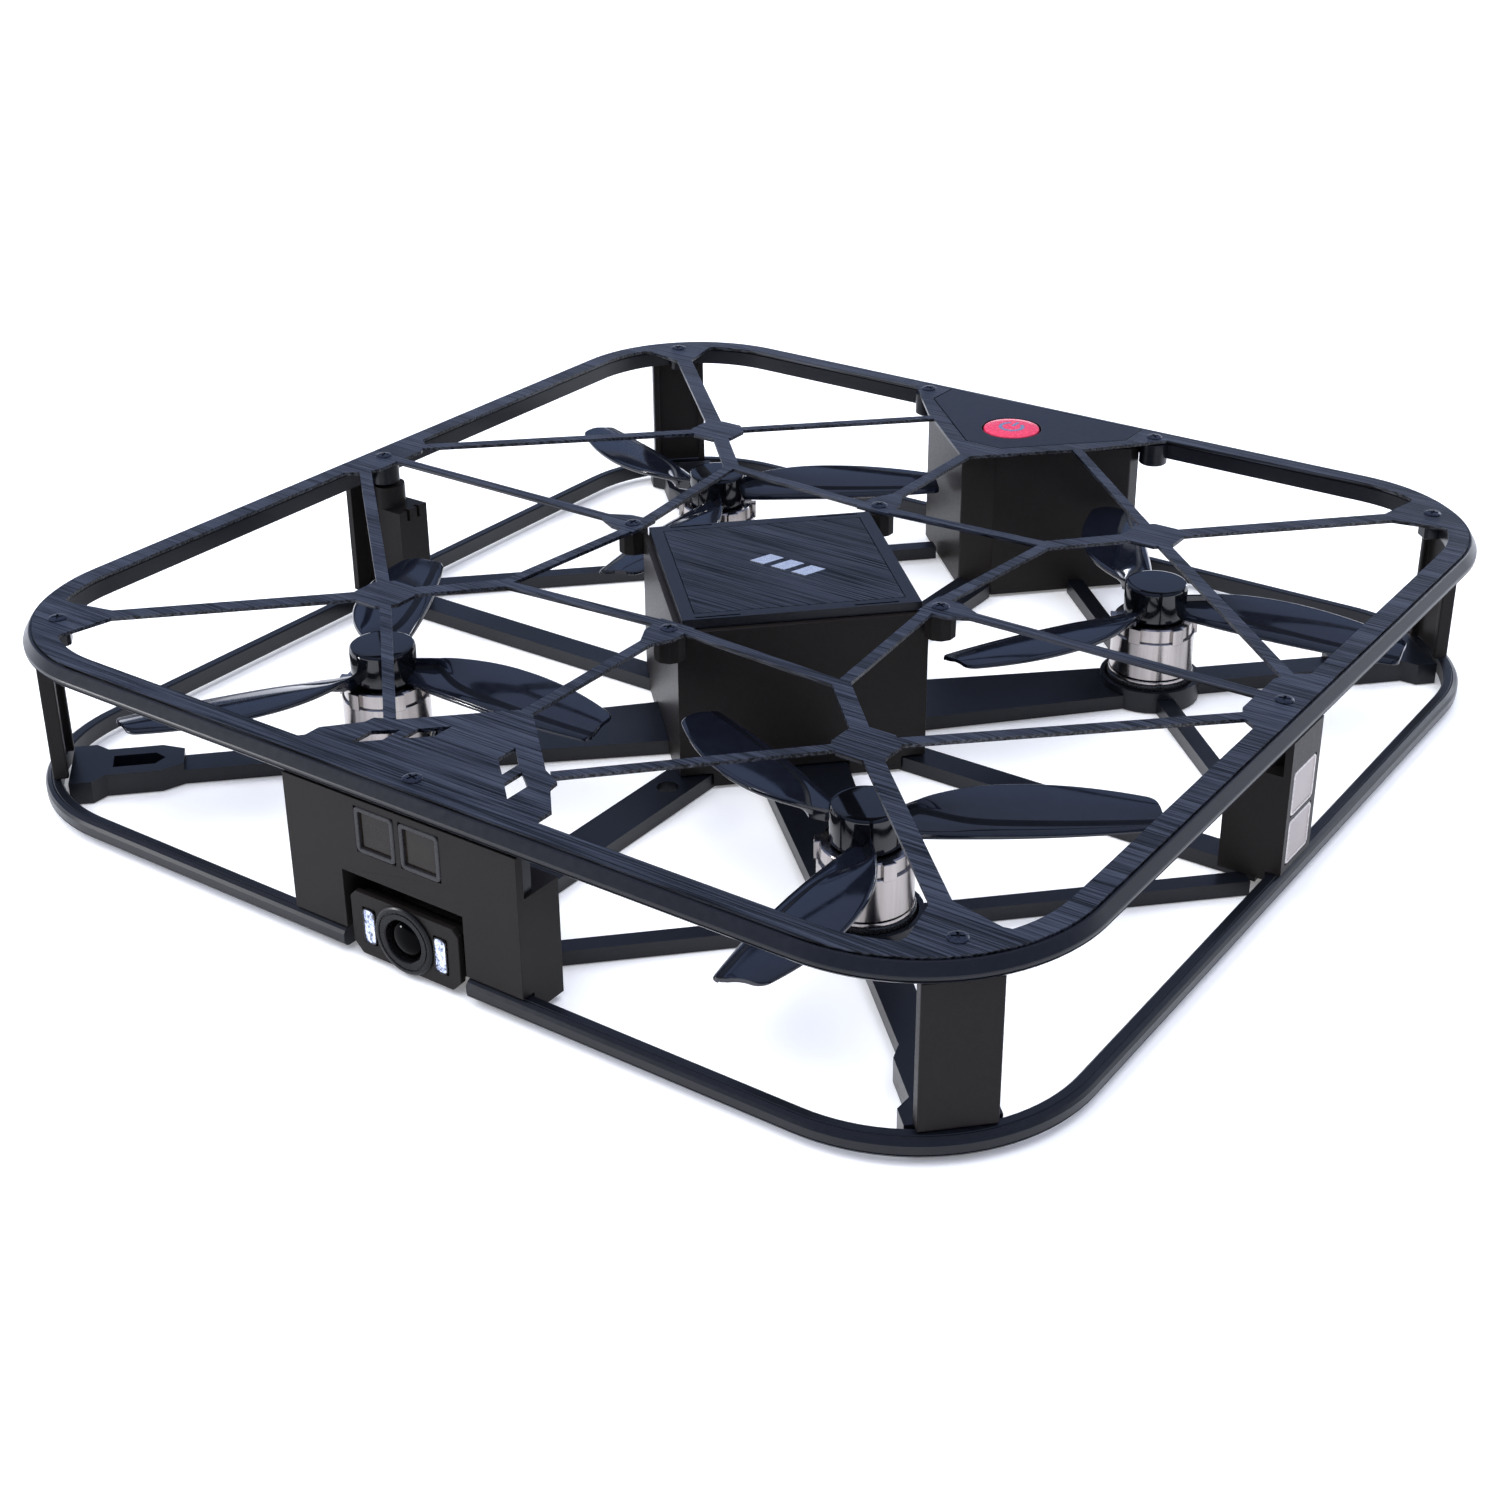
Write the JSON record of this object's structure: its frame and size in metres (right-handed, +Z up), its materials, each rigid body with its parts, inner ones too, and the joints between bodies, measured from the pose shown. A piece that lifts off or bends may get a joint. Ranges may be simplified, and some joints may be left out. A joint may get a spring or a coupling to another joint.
{
  "type": "mini quadcopter drone",
  "caption": "Square palm-sized quadcopter in a flat guard cage with a truss top, spinning propellers, tilting front camera, lift-out battery and rear power button.",
  "frame": {"origin": "middle of the guard cage in plan, at the height of the arms' underside, on which the drone stands", "axes": "+Z up along the propeller shafts, -Y forwards, where the camera looks, +X to the right as seen from the front, which is the drone's own left"},
  "size_m": [0.186, 0.186, 0.03],
  "materials": {
    "brushed_sheet": "brushed dark navy, fine streaks along X",
    "satin_plastic": "satin dark navy",
    "matte_shell": "matte charcoal",
    "screw_steel": "blackened",
    "polished_steel": "polished",
    "windings": "copper winding, dull",
    "propeller_gloss": "glossy navy black",
    "lens_barrel": "glossy black",
    "lens_glass": "dark coated glass",
    "lamp_lens": "clear lamp lens",
    "smoked_window": "smoked",
    "frosted_window": "frosted",
    "circuit_board": "solder mask green",
    "battery_wrap": "shrink wrap",
    "red_button": "glossy crimson"
  },
  "bodies": {
    "airframe": {"button_board": "circuit_board", "centre_body": "matte_shell", "charging_port": "polished_steel", "connector_pod": "matte_shell", "corner_post_front_left": "matte_shell", "corner_post_front_right": "matte_shell", "corner_post_rear_left": "matte_shell", "corner_post_rear_right": "matte_shell", "distance_sensor_board": "circuit_board", "front_housing": "matte_shell", "front_window_left": "smoked_window", "front_window_right": "smoked_window", "lower_frame": "satin_plastic", "lower_guard_ring": "satin_plastic", "main_board": "circuit_board", "motor_base_front_left": "matte_shell", "motor_base_front_right": "matte_shell", "motor_base_rear_left": "matte_shell", "motor_base_rear_right": "matte_shell", "motor_stator_front_left": "windings", "motor_stator_front_right": "windings", "motor_stator_rear_left": "windings", "motor_stator_rear_right": "windings", "rear_module": "matte_shell", "rear_panel": "satin_plastic", "screw_centre_front": "screw_steel", "screw_centre_left": "screw_steel", "screw_centre_rear": "screw_steel", "screw_centre_right": "screw_steel", "screw_corner_front_left": "screw_steel", "screw_corner_front_right": "screw_steel", "screw_corner_rear_left": "screw_steel", "screw_corner_rear_right": "screw_steel", "screw_front": "screw_steel", "screw_rear_left": "screw_steel", "screw_rear_right": "screw_steel", "screw_side_left": "screw_steel", "screw_side_right": "screw_steel", "side_light_lower": "frosted_window", "side_light_pod": "matte_shell", "side_light_upper": "frosted_window", "upper_guard_ring": "satin_plastic", "upper_plate": "brushed_sheet"},
    "rotor_front_right": {"motor_bell_front_right": "polished_steel", "propeller_front_right": "propeller_gloss"},
    "rotor_front_left": {"motor_bell_front_left": "polished_steel", "propeller_front_left": "propeller_gloss"},
    "rotor_rear_right": {"motor_bell_rear_right": "polished_steel", "propeller_rear_right": "propeller_gloss"},
    "rotor_rear_left": {"motor_bell_rear_left": "polished_steel", "propeller_rear_left": "propeller_gloss"},
    "camera": {"camera_body": "matte_shell", "camera_lens_barrel": "lens_barrel", "camera_lens_glass": "lens_glass", "camera_lamp_right": "lamp_lens", "camera_lamp_left": "lamp_lens"},
    "battery": {"battery_cover": "satin_plastic", "battery_cover_inlay": "brushed_sheet", "battery_cell": "battery_wrap"},
    "button": {"power_button": "red_button"}
  },
  "joints": [
    {"name": "spin_front_right", "type": "hinge", "parent": "airframe", "child": "rotor_front_right", "pos_m": [0.0462, -0.0462, 0.0132], "axis": [0, 0, 1], "continuous": true},
    {"name": "spin_front_left", "type": "hinge", "parent": "airframe", "child": "rotor_front_left", "pos_m": [-0.0462, -0.0462, 0.0132], "axis": [0, 0, 1], "continuous": true},
    {"name": "spin_rear_right", "type": "hinge", "parent": "airframe", "child": "rotor_rear_right", "pos_m": [0.0462, 0.0462, 0.0132], "axis": [0, 0, 1], "continuous": true},
    {"name": "spin_rear_left", "type": "hinge", "parent": "airframe", "child": "rotor_rear_left", "pos_m": [-0.0462, 0.0462, 0.0132], "axis": [0, 0, 1], "continuous": true},
    {"name": "camera_tilt", "type": "hinge", "parent": "airframe", "child": "camera", "pos_m": [0, -0.0892, 0.006], "axis": [1, 0, 0], "range_deg": [-10, 10]},
    {"name": "battery_lift", "type": "slide", "parent": "airframe", "child": "battery", "axis": [0, 0, 1], "range_m": [0, 0.03]},
    {"name": "button_press", "type": "slide", "parent": "airframe", "child": "button", "axis": [0, 0, -1], "range_m": [0, 0.0006], "stiffness_N_per_m": 300}
  ]
}
